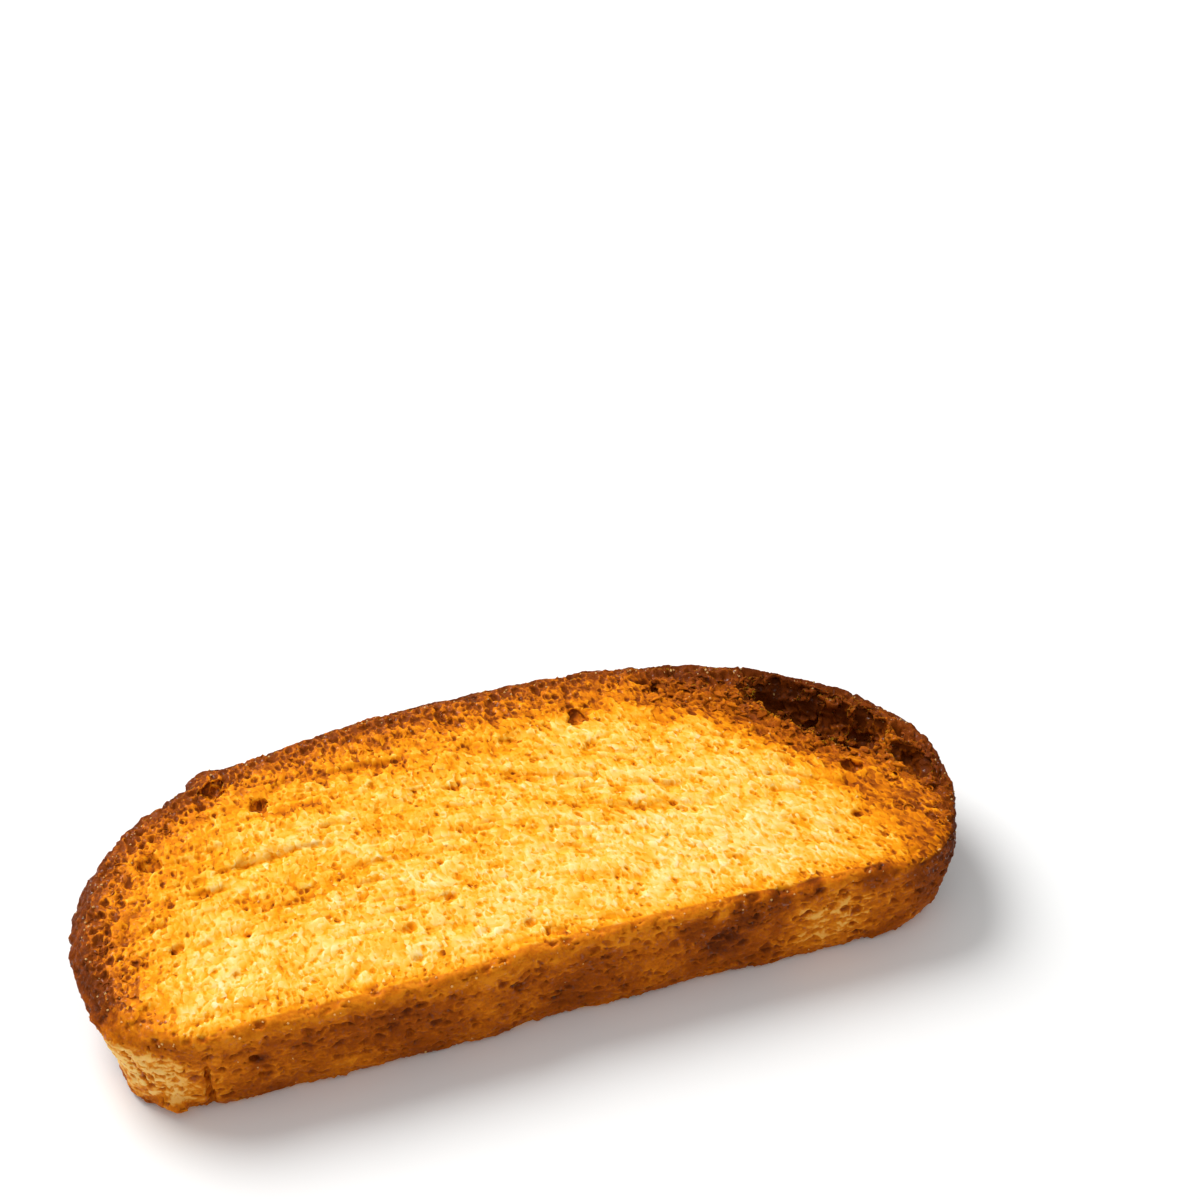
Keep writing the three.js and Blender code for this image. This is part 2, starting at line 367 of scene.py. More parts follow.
shift = np.array([noise_vector(Vector(point) * 1.1).xy for point in points[pores].tolist()])
points[pores, :2] += PORE_SHAKE * shift * np.clip(below / 0.4, 0, 1)[:, None]
points[pores, 2] += below * PORE_FILL
points[near, 2] = np.minimum(points[near, 2], THICKNESS - trough)
for spot, radius in PORES:
    around = np.hypot(*(points[:, :2] - spot).T) < radius * 2
    close = np.flatnonzero(around & (points[:, 2] > PRESS_LOWEST))
    shaken = points[close, :2] + [radius * 0.7 * noise_vector(Vector(p)).xy for p in points[close].tolist()]
    off_middle = np.hypot(*(shaken - spot).T) / radius
    dip = radius * PORE_DEPTH * np.sqrt(np.clip(1 - off_middle**2, 0, 1))
    points[close, 2] = np.minimum(points[close, 2], THICKNESS - dip)
bread.data.vertices.foreach_set("co", (points * MM).ravel())
apply_modifier(bread, "REMESH", {"mode": "VOXEL", "voxel_size": CELL})
apply_modifier(bread, "SMOOTH", {"factor": 0.5, "iterations": 2})
print("trough pressed at", len(near), "points, pores filled at", len(pores))

# %% [markdown]
# ## How far in from the crust
#
# Browning goes by the distance from the crust's edge on the cut face. That edge lies a little inside the
# outline, so its own place is found for every stretch of the outline and taken off.

# %% Measure every point against the outline
ARC_STEP = 1.5  # mm along the outline


def smooth(value, start, end):
    """0 up to start and 1 from end on, smooth between them."""
    t = np.clip((value - start) / (end - start), 0, 1)
    return t * t * (3 - 2 * t)


points = numbers_of(bread.data.vertices, "co", 3) / MM
facing = numbers_of(bread.data.vertex_normals, "vector", 3)
x, y, z = points.T
from_hull, arc, way_out = against_outline(points)
arc_count = int(girth / ARC_STEP)
arc_place = np.clip(arc / girth * arc_count, 0, arc_count - 1).astype(int)
arc_middles = (np.arange(arc_count) + 0.5) * girth / arc_count


def edge_of(face):
    """How far inside the convex outline a cut face's edge lies, at every point's place along it."""
    edges = [np.percentile(from_hull[face & (arc_place == k)], 3) for k in range(arc_count)]
    return np.interp(arc, arc_middles, edges)


top_edge = edge_of((facing[:, 2] > 0.8) & (z > 10.5))
under_edge = edge_of((facing[:, 2] < -0.8) & (z < 1))
upper = smooth(z, 5, 7)
inset = from_hull - (upper * top_edge + (1 - upper) * under_edge)
print("edge of the upper face, mm inside the outline:", round(float(top_edge.mean()), 2))

# %% [markdown]
# ## Zones of the slice
#
# Bread browns from the outside in, and most at corners and torn edges, so its look goes by place. Each zone
# is a number at every point, mostly from 0 to 1: the toasted band, the dark rim, the wall of crust, the
# insides of the large pores, the torn place by the split, the calm crumb at the front, and the pale and burnt
# places of the front wall. They are stored on the mesh, so the relief and the finish can both read them.

# %% Zones
TOAST_REACH = {"base": 2.2, "left": 7.5, "right": 9.0, "crown": 7.0}  # mm
TOAST_GAIN = {"base": 0.24, "left": 0.44, "right": 0.5, "crown": 0.46}
OPEN_WIDTH = {"base": 0.6, "left": 9.0, "right": 10.0, "crown": 7.5}  # mm
RIM_WIDTH = {"base": 0.3, "left": 2.9, "right": 3.2, "crown": 3.7}  # mm
SPLIT_LINE = [(36.4, 11.6), (40.6, 7.6), (44.8, 2.8)]  # mm
POCKET_LINE = [(49.0, -3.4), (50.6, -7.6)]  # mm
FOLD_LINE = [(25.5, 16.2), (30.7, 13.2), (34.6, 9.0), (37.0, 5.2), (41.5, 1.0), (46.0, -2.0)]  # mm
PALE_ENDS = [
    ((-49.0, -16.5), 15.5, 0.95),
    ((32.5, -22.0), 10, 0.5),
]  # place, reach in mm and how pale it is
BURNT_SPOTS = [
    ((16.0, 10.2), 2.6, 0.3),
    ((19.4, 7.4), 3.0, 0.36),
    ((22.2, 10.4), 3.0, 0.42),
    ((26.0, 11.4), 2.8, 0.42),
    ((30.0, 11.6), 2.2, 0.36),
    ((38.0, 11.4), 2.6, 0.3),
    ((47.0, 8.0), 5.5, 0.3),
    ((-35.2, 7.4), 1.0, 0.45),
    ((-34.6, 4.4), 0.7, 0.4),
    ((-5.2, 8.2), 1.0, 0.4),
]  # along the front wall and up it, size in mm and how much darker it is
BAKE_SPOTS = [
    ((24, -9), 13, -0.09),
    ((-42, -15), 9, -0.05),
    ((-6, -13), 12, -0.06),
    ((-8, 4), 14, 0.03),
    ((51, -8), 10, 0.5),
    ((49, -17), 6, 0.3),
    ((32, 12), 7, 0.06),
]  # place, reach in mm and how much more or less it is baked
EDGE_ROUND = 1.5  # mm round the cut faces' edges that are worn round


def by_direction(widths):
    """A width that changes round the outline, from its values on the four sides."""
    return (
        widths["base"] * np.clip(-out_y, 0, 1) ** 2
        + widths["crown"] * np.clip(out_y, 0, 1) ** 2
        + widths["left"] * np.clip(-out_x, 0, 1) ** 2
        + widths["right"] * np.clip(out_x, 0, 1) ** 2
    )


def from_spot(spot):
    """How far each point is, seen from above, from a spot."""
    return np.hypot(x - spot[0], y - spot[1])


def burnt_by(spot, size):
    """1 near a spot on the front wall, seen from the front, and 0 from a little past its size on."""
    return 1 - smooth(np.hypot(x - spot[0], z - spot[1]), size * 0.3, size * 1.3)


# %% Zones at every point
cut_depth = np.minimum(THICKNESS - z, z)
wall = smooth(np.linalg.norm(facing[:, :2], axis=1), 0.45, 0.85) * (1 - smooth(inset, 0.5, 1.2))
wall = np.maximum(wall, smooth(cut_depth, 1.2, 2.2) * (1 - smooth(inset, 1.5, 3)))
out_x, out_y = way_out.T
crown = smooth(out_y + np.abs(out_x) * 0.7 + np.clip(out_x, 0, 1) * 0.6, 0, 0.6)
split_distance = np.minimum(from_line(points, SPLIT_LINE), from_line(points, POCKET_LINE) + 0.8)
torn_distance = np.minimum(from_line(points, FOLD_LINE), split_distance - 1.0)
zones = {
    "wall": wall,
    "toast": by_direction(TOAST_GAIN) * np.exp(-((np.maximum(inset, 0) / by_direction(TOAST_REACH)) ** 2)),
    "open": crown * (1 - smooth(inset, -0.5, by_direction(OPEN_WIDTH))),
    "rim": crown * (1 - smooth(inset, 0, by_direction(RIM_WIDTH))),
    "crown": crown,
    "band": (1 - crown)
    * upper
    * (1 - smooth(x, 38, 47))
    * (0.6 + 0.4 * smooth(x, -47, -38))
    * np.clip(1 - np.hypot(np.maximum(inset, 0) / 1.5, cut_depth / 3.4), 0, 1),
    "sunk": smooth(cut_depth, 0.12, 0.7) * (1 - wall) * smooth(inset, 0, 1),
    "split": upper * (1 - smooth(split_distance, 0.8, 3.0)) * (1 - wall),
    "torn": upper * (1 - smooth(torn_distance, 1.6, 5.0)),
    "scorch": upper * (1 - smooth(torn_distance, 0.5, 8.0)),
    "calm": 1 - smooth(y, -13, -3),
    "pale": wall
    * (1 - smooth(z, 8, 11))
    * smooth(z, 0, 3.5)
    * np.max([gain * (1 - smooth(from_spot(spot), 2, reach)) for spot, reach, gain in PALE_ENDS], axis=0),
    "burnt": smooth(-y, 2, 8)
    * np.max([gain * burnt_by(spot, size) for spot, size, gain in BURNT_SPOTS], axis=0),
    "baked": np.sum(
        [gain * np.exp(-((from_spot(spot) / reach) ** 2)) for spot, reach, gain in BAKE_SPOTS],
        axis=0,
    ),
    "edge": 1 - smooth(np.hypot(np.maximum(inset, 0), cut_depth), EDGE_ROUND / 2, EDGE_ROUND),
}
for name, values in zones.items():
    attribute = bread.data.attributes.new(name, "FLOAT", "POINT")
    attribute.data.foreach_set("value", values.astype(np.float32))
print("zones:", {name: round(float(values.mean()), 3) for name, values in zones.items()})

# %% [markdown]
# ## Crumb fields
#
# A cut through bread crosses bubbles at random heights. Voronoi cells do the same: a point near a cell's
# middle is inside that cell's bubble, and the cell's own random number sets how large the bubble is. The
# torn crumb between the bubbles stands up in small flakes, which are cells that each lean their own way.
# The fields are functions of a place in millimetres, so the relief and the finish can share them.

# %% Crumb fields
ARCH_MIDDLE = -25  # mm along the slice, where the grain runs straight along it
ARCH_BEND = 0.0045  # how fast the grain turns down on both sides of that


def noise(place, scale, detail, stretch=(1, 1, 1), output="Fac"):
    """Noise from 0 to 1. Scale is in bumps per mm, and stretch makes the bumps longer."""
    if stretch != (1, 1, 1):
        place = place.vector("DIVIDE", place, stretch)
    inputs = {"Vector": place, "Scale": scale, "Detail": detail, "Roughness": 0.6}
    return place.node("ShaderNodeTexNoise", {}, inputs, output)


def shake(place, scale, amount):
    """The place moved about by noise, so that straight edges become ragged."""
    return place.vector("MULTIPLY_ADD", noise(place, scale, 1, output="Color"), (amount,) * 3, place)


def grain(place):
    """The place bent into the crumb's own grain, which follows the arch of the crown."""
    along_slice = place.node("ShaderNodeSeparateXYZ", {}, {0: place}, "X") - ARCH_MIDDLE
    lift = place.node("ShaderNodeCombineXYZ", {}, {"Y": along_slice * along_slice * ARCH_BEND})
    return shake(shake(place.vector("ADD", place, lift), 0.16, 1.6), 1.6, 0.3)


def cells_of(place, size):
    """Voronoi cells, each of this size in mm, and the place as a number of cells."""
    cells = place.vector("DIVIDE", place, size)
    return cells, place.node("ShaderNodeTexVoronoi", {"feature": "F1"}, {"Vector": cells, "Scale": 1})


def bubbles(place, size, small, large, wider=0, ragged=0):
    """Burst bubbles: deepest at a bubble's middle and 0 from its sharp rim on, and the thin bright wall
    round it. Size is one cell in mm, and the radii are shares of a cell."""
    cells, distance = cells_of(place, size)
    chance = place.node("ShaderNodeSeparateXYZ", {}, {0: distance.other("Color")}, "X")
    radius = (chance * (large - small) + (small + wider)).above_zero()
    ratio = (distance + ragged) / radius
    pit = (1 - ratio * ratio).above_zero() * radius * 2.2
    return pit, ratio.fade(0.85, 1.05) * ratio.fade(1.55, 1.15)


def plates(place, size):
    """Torn plates: every cell is a small flat plate that leans its own way, from about -0.5 to 0.5."""
    cells, distance = cells_of(place, size)
    chance = distance.other("Color")
    lean = place.vector("MULTIPLY_ADD", chance, (2, 2, 2), (-1, -1, -1))
    from_middle = place.vector("SUBTRACT", cells, distance.other("Position"))
    product = {"operation": "DOT_PRODUCT"}
    slope = place.node("ShaderNodeVectorMath", product, {0: lean, 1: from_middle}, "Value")
    level = place.node("ShaderNodeSeparateXYZ", {}, {0: chance}, "Z") - 0.5
    return slope * 1.2 + level * 0.5


def coarse_fields(place, bent):
    """What is coarser than the mesh's faces, so that the mesh can hold it."""
    return {
        "patch": noise(place, 0.15, 3) - 0.5,
        "wiggle": noise(place, 0.45, 3) - 0.5,
        "plate": plates(bent, (1.4, 1.8, 1.3)),
        "tear": noise(bent, 0.5, 3, (5, 1, 2)).fade(0.58, 0.66),
        "streak": noise(bent, 0.3, 3, (5, 1, 1)).fade(0.45, 0.65),
        "large": bubbles(bent, (3.0, 3.2, 2.6), -0.3, 0.5)[0],
    }


def fine_fields(bent, opened):
    """What is about as fine as the mesh's faces, so that the finish works it out once more."""
    ragged = (noise(bent, 1.7, 2) - 0.5) * 0.55
    medium, medium_wall = bubbles(bent, (1.25, 1.6, 1.2), -0.2, 0.45, opened * 0.3, ragged)
    small, small_wall = bubbles(bent, (0.66, 0.88, 0.65), -0.1, 0.55, opened * 0.3, ragged)
    return {
        "chip": plates(bent, (0.66, 0.92, 0.65)),
        "medium": medium,
        "small": small,
        "walls": medium_wall + small_wall * 0.6,
    }


def tiny_bubbles(bent):
    """Bubbles too small for the mesh, which only the finish shows."""
    return bubbles(bent, (0.36, 0.5, 0.36), -0.1, 0.55)[0]


def crust_fields(place):
    """The crust's own roughness: blisters and their rims, flat-lying fibres, pits and lumps."""
    ragged = shake(shake(place, 0.6, 1.2), 1.8, 0.5)
    cell, ring = bubbles(ragged, (1.6, 1.6, 0.95), -0.1, 0.6)
    return {
        "cell": cell,
        "ring": ring,
        "fibre": noise(ragged, 1.0, 4, (1.8, 1.8, 0.6)).fade(0.42, 0.62),
        "pit": noise(ragged, 0.9, 3, (1.4, 1.4, 0.7)).fade(0.42, 0.32),
        "lump": noise(place, 0.4, 3),
    }


# %% [markdown]
# ## Worn edges
#
# The edges of a dry slice crumble and wear round. The points' places are blurred there, and only there, in
# the first node of a Geometry Nodes tree.

# %% Worn edges
EDGE_BLUR = 30  # steps


def new_tree(name):
    """An empty Geometry Nodes tree with one geometry in and one out."""
    tree = bpy.data.node_groups.new(name, "GeometryNodeTree")
    for way in ("INPUT", "OUTPUT"):
        tree.interface.new_socket("Geometry", in_out=way, socket_type="NodeSocketGeometry")
    return tree


relief = new_tree("crumb_relief")
start = Wire(relief)


def stored(wire, name):
    """A field that the mesh already holds."""
    return wire.node("GeometryNodeInputNamedAttribute", {"data_type": "FLOAT"}, {"Name": name})


def store(wire, geometry, kind, name, value):
    """Writes a field onto the points of a geometry."""
    settings = {"data_type": kind, "domain": "POINT"}
    inputs = {"Geometry": geometry, "Name": name, "Value": value}
    return wire.node("GeometryNodeStoreNamedAttribute", settings, inputs)


zone = {name: stored(start, name) for name in zones}
position = start.node("GeometryNodeInputPosition", {}, {})
blurred = start.node(
    "GeometryNodeBlurAttribute",
    {"data_type": "FLOAT_VECTOR"},
    {"Value": position, "Iterations": EDGE_BLUR, "Weight": zone["edge"]},
)
geometry = start.node("NodeGroupInput", {}, {})
geometry = start.node("GeometryNodeSetPosition", {}, {"Geometry": geometry, "Position": blurred})
print("edges blurred in", EDGE_BLUR, "steps")

# %% [markdown]
# ## Relief
#
# The relief of the cut faces goes into the bread and never out of it, so that the slice still rests on its
# cut face. The walls of crust are rough in another way: lumps, flat-lying fibres and pits. The fields that
# the finish needs are stored on the mesh on the way.

# %% Relief
rest = start.vector("DIVIDE", position, (MM, MM, MM))
bent = grain(rest)
coarse = coarse_fields(rest, bent)
crust = crust_fields(rest)
crumb = coarse | fine_fields(bent, zone["open"])
lively = 1 - zone["calm"] * 0.5
depth = (
    crumb["large"] * (0.4 + 0.2 * zone["open"]) * lively
    + crumb["medium"] * (0.25 * lively + 0.12 * zone["open"])
    + crumb["small"] * (0.16 + 0.04 * zone["open"])
    - crumb["walls"] * (0.03 + 0.12 * zone["open"])
    + crumb["tear"] * 0.3 * lively * (1 - zone["open"])
    + (0.5 - crumb["plate"]) * (0.16 * lively + 0.4 * zone["torn"])
    + (0.5 - crumb["chip"]) * (0.07 + 0.15 * zone["torn"])
    + (crust["lump"] - 0.3) * 1.6 * zone["torn"]
).above_zero()
crust_lift = (
    (crust["lump"] - 0.5) * 1.2
    + (crust["fibre"] - 0.5) * 0.1
    + crust["ring"] * 0.07
    - crust["cell"] * 0.22
    - crust["pit"] * 0.3
)
on_crust = start.math("MAXIMUM", zone["wall"], zone["band"].fade(0.3, 0.6))
moved = (on_crust * crust_lift - (1 - on_crust) * depth) * MM
offset = start.node(
    "ShaderNodeVectorMath",
    {"operation": "SCALE"},
    {"Vector": start.node("GeometryNodeInputNormal", {}, {}), "Scale": moved},
)
geometry = store(start, geometry, "FLOAT_VECTOR", "rest", rest)
geometry = store(start, geometry, "FLOAT_VECTOR", "bent", bent)
for name, value in (coarse | crust).items():
    geometry = store(start, geometry, "FLOAT", name, value)
geometry = start.node("GeometryNodeSetPosition", {}, {"Geometry": geometry, "Offset": offset})
start.node("NodeGroupOutput", {}, {"Geometry": geometry}, None)
apply_modifier(bread, "NODES", {"node_group": relief})
print("relief on", len(bread.data.vertices), "points")

# %% [markdown]
# ## Fewer faces
#
# The relief is dense everywhere, also where the bread is nearly flat. Faces are merged there until the piece
# is small enough to pass on. The slice rests on its cut face, so no point may end up below the table.

# %% Thin the mesh out where it is flat
MOST_TRIANGLES = 196_000
LOWEST = (-1, -1, 0)  # m: far outside the slice to the sides, and the table's height

share = MOST_TRIANGLES / (2 * len(bread.data.vertices))
apply_modifier(bread, "DECIMATE", {"ratio": share})
lifted = np.maximum(numbers_of(bread.data.vertices, "co", 3), LOWEST)
bread.data.vertices.foreach_set("co", lifted.ravel())
bread.data.shade_smooth()
bread.data.update()
bread.data.calc_loop_triangles()
print("bread:", len(bread.data.loop_triangles), "triangles")

# %% [markdown]
# ## Flakes, curls and crumbs
#
# Where a knife tears dry crumb, thin flakes of bubble wall stand up, and towards the crust the walls of burst
# bubbles stay as small curls. Loose crumbs stick to the edges. Each kind has a few shapes of a few dozen
# faces, made once, and Geometry Nodes sets thousands of copies on the bread, each turned its own way.

# %% Shapes to scatter
SHAPES_OF_A_KIND = 7
chance = random.Random(41)


def flake_shape():
    """A thin bent plate about one unit across, with a ragged outline."""
    shape = bmesh.new()
    bmesh.ops.create_circle(shape, cap_ends=True, radius=0.5, segments=8)
    for corner in shape.verts:
        corner.co *= chance.uniform(0.4, 1.3)
    made = bmesh.ops.extrude_face_region(shape, geom=shape.faces[:], use_keep_orig=True)
    top = [item for item in made["geom"] if isinstance(item, bmesh.types.BMVert)]
    bmesh.ops.translate(shape, verts=top, vec=(0, 0, 0.09))
    bmesh.ops.scale(shape, verts=top, vec=(0.86, 0.86, 1))
    bend_along, bend_across = chance.uniform(-0.6, 0.4), chance.uniform(-0.4, 0.4)
    for corner in shape.verts:
        corner.co.z += bend_along * corner.co.x**2 + bend_across * corner.co.y**2
    return shape


def curl_shape():
    """A piece of a bubble's thin wall: an upright ribbon bent round part of a ring."""
    shape = bmesh.new()
    low = shape.verts.new((0.5, 0, -0.2))
    high = shape.verts.new((0.5 + chance.uniform(-0.1, 0.06), 0, chance.uniform(0.14, 0.26)))
    edge = shape.edges.new((low, high))
    angle = math.radians(chance.uniform(130, 320))
    bmesh.ops.spin(shape, geom=[low, high, edge], cent=(0, 0, 0), axis=(0, 0, 1), angle=angle, steps=9)
    bmesh.ops.solidify(shape, geom=shape.faces[:], thickness=0.09)
    for corner in shape.verts:
        if corner.co.z > 0:
            corner.co.z *= chance.uniform(0.5, 1.2)
    return shape


def crumb_shape():
    """A lump about one unit across."""
    shape = bmesh.new()
    bmesh.ops.create_icosphere(shape, subdivisions=1, radius=0.5)
    for corner in shape.verts:
        corner.co *= chance.uniform(0.6, 1.25)
    return shape


def shape_set(name, make):
    """A collection, outside the scene, with a few shapes of one kind."""
    kept = bpy.data.collections.new(name)
    for number in range(SHAPES_OF_A_KIND):
        shape = make()
        bmesh.ops.recalc_face_normals(shape, faces=shape.faces)
        bmesh.ops.triangulate(shape, faces=shape.faces)
        mesh = bpy.data.meshes.new(f"{name}_{number}")
        shape.to_mesh(mesh)
        shape.free()
        kept.objects.link(bpy.data.objects.new(mesh.name, mesh))
    return kept


flake_set = shape_set("flake", flake_shape)
curl_set = shape_set("curl", curl_shape)
crumb_set = shape_set("loose_crumb", crumb_shape)

# %% [markdown]
# ## Where they lie
#
# Flakes stand in the torn places, curls in the open crumb towards the crust, and crumbs lie along the edges.
# Each kind has a plan that says how many lie on a square millimetre, how large they are and how far they
# lean. The zones that are stored on the bread go along to the copies, so that they are browned like the
# bread beneath them.


# %% Scatter them over the bread
def pick(wire, kind, low, high, seed):
    """A random value for each point: a FLOAT, an INT or a FLOAT_VECTOR."""
    first = {"FLOAT_VECTOR": 0, "FLOAT": 2, "INT": 4}[kind]
    output = {"FLOAT_VECTOR": 0, "FLOAT": 1, "INT": 2}[kind]
    inputs = {first: low, first + 1: high, "Seed": seed}
    return wire.node("FunctionNodeRandomValue", {"data_type": kind}, inputs, output)


def scatter(name, shapes, seed, speck, plan):
    """Makes a piece of copies of the shapes. Plan gives their density per square mm, their size along three
    axes, and how far they lean, in radians. speck is 1 for pieces painted pale, as glints of light."""
    tree = new_tree(name)
    start = Wire(tree)
    zone = {key: stored(start, key) for key in zones}
    up = start.node("ShaderNodeSeparateXYZ", {}, {0: start.node("GeometryNodeInputNormal", {}, {})}, "Z")
    density, size, lean = plan(start, zone, up)
    spots = start.node(
        "GeometryNodeDistributePointsOnFaces",
        {"distribute_method": "RANDOM"},
        {"Mesh": start.node("NodeGroupInput", {}, {}), "Density": density / MM**2, "Seed": seed},
    )
    place = start.vector("DIVIDE", start.node("GeometryNodeInputPosition", {}, {}), (MM, MM, MM))
    across = start.node("ShaderNodeSeparateXYZ", {}, {0: place}, "X") - ARCH_MIDDLE
    along_grain = start.math("ARCTANGENT", across * (-2 * ARCH_BEND))
    turn = start.vector("MULTIPLY", pick(start, "FLOAT_VECTOR", (-1, -1, -1), (1, 1, 1), seed + 1), lean)
    turn = start.vector("ADD", turn, start.node("ShaderNodeCombineXYZ", {}, {"Z": along_grain}))
    inputs = {"Collection": shapes, "Separate Children": True, "Reset Children": True}
    copies = start.node(
        "GeometryNodeInstanceOnPoints",
        {},
        {
            "Points": spots,
            "Instance": start.node("GeometryNodeCollectionInfo", {}, inputs),
            "Pick Instance": True,
            "Instance Index": pick(start, "INT", 0, SHAPES_OF_A_KIND - 1, seed + 2),
            "Rotation": start.node("FunctionNodeEulerToRotation", {}, {0: turn}),
            "Scale": size,
        },
    )
    geometry = start.node("GeometryNodeRealizeInstances", {}, {"Geometry": copies})
    geometry = store(start, geometry, "FLOAT_VECTOR", "rest", place)
    geometry = store(start, geometry, "FLOAT_VECTOR", "bent", grain(place))
    geometry = store(start, geometry, "FLOAT", "speck", speck)
    start.node("NodeGroupOutput", {}, {"Geometry": geometry}, None)
    piece = add_piece(name, bread.data.copy())
    apply_modifier(piece, "NODES", {"node_group": tree})
    print(name, len(piece.data.polygons), "triangles")
    return piece


def growth_of(wire, value):
    """The same size along all three axes."""
    return wire.node("ShaderNodeCombineXYZ", {}, {"X": value, "Y": value, "Z": value})


def flake_plan(wire, zone, up):
    on_top = up.fade(0.2, 0.5) * (1 - zone["wall"]) * (1 - zone["split"])
    density = on_top * zone["torn"] * (1 - zone["sunk"]) * (1 - zone["rim"]) * 0.9
    growth = pick(wire, "FLOAT", 0.4, 1.4, 7) * MM
    size = wire.vector("MULTIPLY", growth_of(wire, growth), (1.5, 1.0, 1.1))
    lean = wire.node("ShaderNodeCombineXYZ", {}, {"X": 0.45, "Y": 0.35, "Z": 0.6})
    return density, size, lean


def curl_plan(wire, zone, up):
    on_top = up.fade(0.2, 0.5) * (1 - zone["wall"]) * (1 - zone["split"])
    density = on_top * (1 - zone["rim"]) * (1 - zone["sunk"]) * (1 - zone["torn"]) * zone["open"] * 0.35
    growth = pick(wire, "FLOAT", 0.5, 1.3, 8) * MM
    size = wire.vector("MULTIPLY", growth_of(wire, growth), (1.1, 1.0, 0.36))
    lean = wire.node("ShaderNodeCombineXYZ", {}, {"X": 0.3, "Y": 0.3, "Z": math.pi})
    return density, size, lean


def crumb_plan(wire, zone, up):
    density = up.fade(-0.4, 0.3) * (0.02 + 0.25 * zone["edge"])
    growth = pick(wire, "FLOAT", 0.12, 0.36, 9) * MM
    lean = wire.node("ShaderNodeCombineXYZ", {}, {"X": math.pi, "Y": math.pi, "Z": math.pi})
    return density, growth_of(wire, growth), lean


flakes = scatter("crumb_flakes", flake_set, 11, 0.0, flake_plan)
curls = scatter("crumb_curls", curl_set, 21, 0.0, curl_plan)
# the loose crumbs are painted pale, as painted glints of light
crumbs = scatter("loose_crumbs", crumb_set, 31, 1.0, crumb_plan)
for kept in (flake_set, curl_set, crumb_set):
    for item in list(kept.objects):
        bpy.data.objects.remove(item)
    bpy.data.collections.remove(kept)

# %% [markdown]
# ## A map of the bread
#
# A map lays the skin of the bread flat, so that its finish can be kept as one picture. The two cut faces lie
# on it as they are seen from above and from below. The wall of crust is unrolled and cut into three strips.
# The places are those from before the relief, so that the pits don't fold the map over itself.

# %% Map
MAP_GAP = 1.5  # mm between the parts of the map
WALL_STRIPS = 3


def whole_numbers_of(items, name):
    """One whole number of each of many items."""
    found = np.empty(len(items), np.int32)
    items.foreach_get(name, found)
    return found


corner_points = whole_numbers_of(bread.data.loops, "vertex_index")
face_starts = whole_numbers_of(bread.data.polygons, "loop_start")
face_sizes = whole_numbers_of(bread.data.polygons, "loop_total")


def on_corners(face_values):
    """Every face's value at each of its corners."""
    return np.repeat(face_values, face_sizes)


def face_means(point_values):
    """The mean over each face of what its points have."""
    return np.add.reduceat(point_values[corner_points], face_starts) / face_sizes


rest_spots = numbers_of(bread.data.attributes["rest"].data, "vector", 3)
point_arc = against_outline(rest_spots)[1]
first_arc = point_arc[corner_points[face_starts]]
further = (point_arc[corner_points] - on_corners(first_arc) + girth / 2) % girth - girth / 2
strip_length = girth / WALL_STRIPS
is_wall = face_means(numbers_of(bread.data.attributes["wall"].data, "value", 1)[:, 0]) > 0.5
is_top = face_means(rest_spots[:, 2]) > THICKNESS / 2
row = np.where(is_wall, 2 + first_arc // strip_length, np.where(is_top, 0, 1)).astype(int)
corner_x, corner_y, corner_z = rest_spots[corner_points].T
reach_low, reach_high = rest_spots.min(0), rest_spots.max(0)
from_left = np.where(on_corners(is_top), corner_x - reach_low[0], reach_high[0] - corner_x)
map_across = np.where(on_corners(is_wall), on_corners(first_arc % strip_length) + further, from_left)
map_up = np.where(on_corners(is_wall), corner_z, corner_y - reach_low[1])
face_depth = reach_high[1] - reach_low[1]
row_heights = np.array([face_depth] * 2 + [reach_high[2]] * WALL_STRIPS) + MAP_GAP
row_starts = np.cumsum(row_heights) - row_heights + MAP_GAP
map_side = row_heights.sum() + MAP_GAP
map_places = np.stack([map_across + MAP_GAP, map_up + row_starts[on_corners(row)]], 1) / map_side
layer = bread.data.uv_layers.new(name="OFBake")
layer.data.foreach_set("uv", map_places.astype(np.float32).ravel())
print("map:", round(float(map_side)), "mm across")
print("map reaches from", map_places.min(0).round(3), "to", map_places.max(0).round(3))

# %% [markdown]
# ## Finish
#
# Bread is coloured mostly by baking. So one number, from 0 to 1, says how far each spot is baked, with painted
# shade in pits and hollows and painted light on thin walls added to it, and a ramp turns it into cream, gold,
# orange and brown. The finish reads the zones and the coarse fields from the mesh and works out the fine ones
# again, because they are finer than its faces.


# %% Paint and what it reads
def tone(red, green, blue):
    """A colour given as on a screen, from 0 to 255, in the shader's linear numbers."""

    def linear(value):
        share = value / 255
        return share / 12.92 if share <= 0.04045 else ((share + 0.055) / 1.055) ** 2.4

    return (linear(red), linear(green), linear(blue), 1)


toast_paint = bpy.data.materials.new("toasted_crumb")
toast_paint.use_nodes = True
paint_tree = toast_paint.node_tree
shader = paint_tree.nodes["Principled BSDF"]
paint = Wire(paint_tree)


def painted(name, output="Fac"):
    """A field that the mesh holds, for the finish."""
    return paint.node("ShaderNodeAttribute", {"attribute_name": name}, {}, output)


def finish(name, wire):
    """Links a wire to one of the shader's inputs."""
    paint_tree.links.new(wire.socket, shader.inputs[name])


zone = {name: painted(name) for name in [*zones, "speck"]}
rest = painted("rest", "Vector")
bent = painted("bent", "Vector")
crumb = {name: painted(name) for name in coarse} | fine_fields(bent, zone["open"])
crumb["tiny"] = tiny_bubbles(bent)
crust = {name: painted(name) for name in crust}
speckle = noise(rest, 2.5, 3)
print("the finish reads", len(zone), "zones and", len(crumb) + len(crust), "fields")
